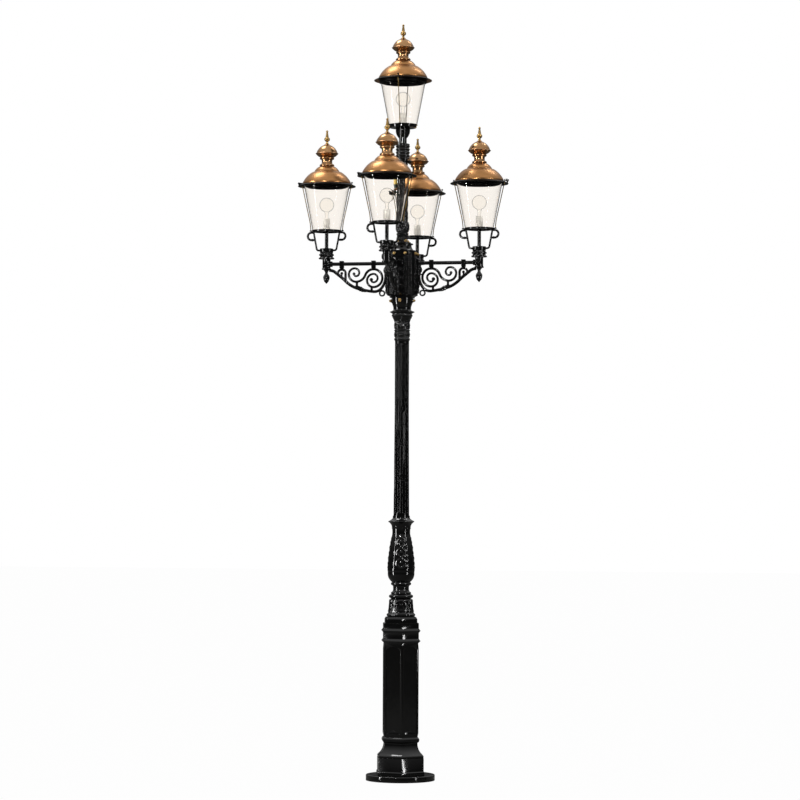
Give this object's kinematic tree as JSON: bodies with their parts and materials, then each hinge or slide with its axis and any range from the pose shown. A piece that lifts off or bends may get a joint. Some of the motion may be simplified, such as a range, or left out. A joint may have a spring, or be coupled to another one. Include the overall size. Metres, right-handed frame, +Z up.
{
  "type": "lamp post",
  "caption": "Tall cast lamp post with a hexagonal pedestal, a fluted shaft, scroll brackets and clear glass lanterns with hinged copper lids.",
  "frame": {"origin": "middle of the base plate's underside", "axes": "+Z up along the post; the arms lie along X and Y; the front is -Y"},
  "size_m": [1.429, 1.422, 5.0234],
  "materials": {
    "iron_black_paint": "gloss black paint",
    "casting_black_paint": "gloss black paint",
    "steel_tube": "plated",
    "arm_brass": "dull brass",
    "nut_brass": "polished brass",
    "copper": "satin copper",
    "lantern_glass": "clear",
    "bulb_glass": "clear",
    "board_plastic": "moulded",
    "holder_white": "white",
    "sensor_amber": "amber"
  },
  "bodies": {
    "post": {"base_plate": "iron_black_paint", "pedestal": "iron_black_paint", "baluster": "iron_black_paint", "shaft": "casting_black_paint", "capital": "casting_black_paint", "hub": "casting_black_paint", "arm_bracket_right": "casting_black_paint", "arm_bracket_back": "casting_black_paint", "arm_bracket_left": "casting_black_paint", "arm_bracket_front": "casting_black_paint", "arm_tubes": "casting_black_paint", "bar_clips": "casting_black_paint", "arm_heads": "casting_black_paint", "arm_pendants": "casting_black_paint", "stem": "casting_black_paint", "top_neck": "casting_black_paint", "collar_knobs": "casting_black_paint", "lantern_cups": "casting_black_paint", "lantern_cage_right": "casting_black_paint", "lantern_cage_back": "casting_black_paint", "lantern_cage_left": "casting_black_paint", "lantern_cage_front": "casting_black_paint", "lantern_floors": "casting_black_paint", "lantern_brim_right": "casting_black_paint", "lantern_brim_back": "casting_black_paint", "lantern_brim_left": "casting_black_paint", "lantern_brim_front": "casting_black_paint", "lantern_brim_top": "casting_black_paint", "core_tube": "steel_tube", "base_screws": "steel_tube", "door_hinge_pins": "steel_tube", "lid_hinge_pins": "steel_tube", "glass_rods": "arm_brass", "brass_cap_nuts": "nut_brass", "lantern_glass_right": "lantern_glass", "lantern_glass_back": "lantern_glass", "lantern_glass_left": "lantern_glass", "lantern_glass_front": "lantern_glass", "lantern_glass_top": "lantern_glass", "bulbs": "bulb_glass", "terminal_board": "board_plastic", "lampholders": "holder_white", "dusk_sensor": "sensor_amber"},
    "lid_right": {"lid_dome_right": "copper", "lid_crown_right": "copper", "lid_finial_right": "nut_brass"},
    "lid_back": {"lid_dome_back": "copper", "lid_crown_back": "copper", "lid_finial_back": "nut_brass"},
    "lid_left": {"lid_dome_left": "copper", "lid_crown_left": "copper", "lid_finial_left": "nut_brass"},
    "lid_front": {"lid_dome_front": "copper", "lid_crown_front": "copper", "lid_finial_front": "nut_brass"},
    "lid_top": {"lid_dome_top": "copper", "lid_crown_top": "copper", "lid_finial_top": "nut_brass"},
    "service_door": {"pedestal_door": "iron_black_paint"},
    "door_lock_cylinder": {"door_lock": "steel_tube"}
  },
  "joints": [
    {"name": "lid_hinge_right", "type": "hinge", "parent": "post", "child": "lid_right", "pos_m": [0.708, 0, 3.969], "axis": [0, 1, 0], "range_deg": [0, 100]},
    {"name": "lid_hinge_back", "type": "hinge", "parent": "post", "child": "lid_back", "pos_m": [-0.19, 0.518, 3.969], "axis": [0, -1, 0], "range_deg": [0, 100]},
    {"name": "lid_hinge_left", "type": "hinge", "parent": "post", "child": "lid_left", "pos_m": [-0.708, 0, 3.969], "axis": [0, -1, 0], "range_deg": [0, 100]},
    {"name": "lid_hinge_front", "type": "hinge", "parent": "post", "child": "lid_front", "pos_m": [-0.19, -0.518, 3.969], "axis": [0, -1, 0], "range_deg": [0, 100]},
    {"name": "lid_hinge_top", "type": "hinge", "parent": "post", "child": "lid_top", "pos_m": [0, 0.19, 4.668], "axis": [-1, 0, 0], "range_deg": [0, 100]},
    {"name": "door_hinge", "type": "hinge", "parent": "post", "child": "service_door", "pos_m": [0.08368, 0.10171, 0.596], "axis": [0, 0, -1], "range_deg": [0, 115]},
    {"name": "lock_turn", "type": "hinge", "parent": "service_door", "child": "door_lock_cylinder", "pos_m": [0.00046, 0.11376, 0.596], "axis": [-0.2588, -0.9659, 0], "range_deg": [0, 90]}
  ]
}
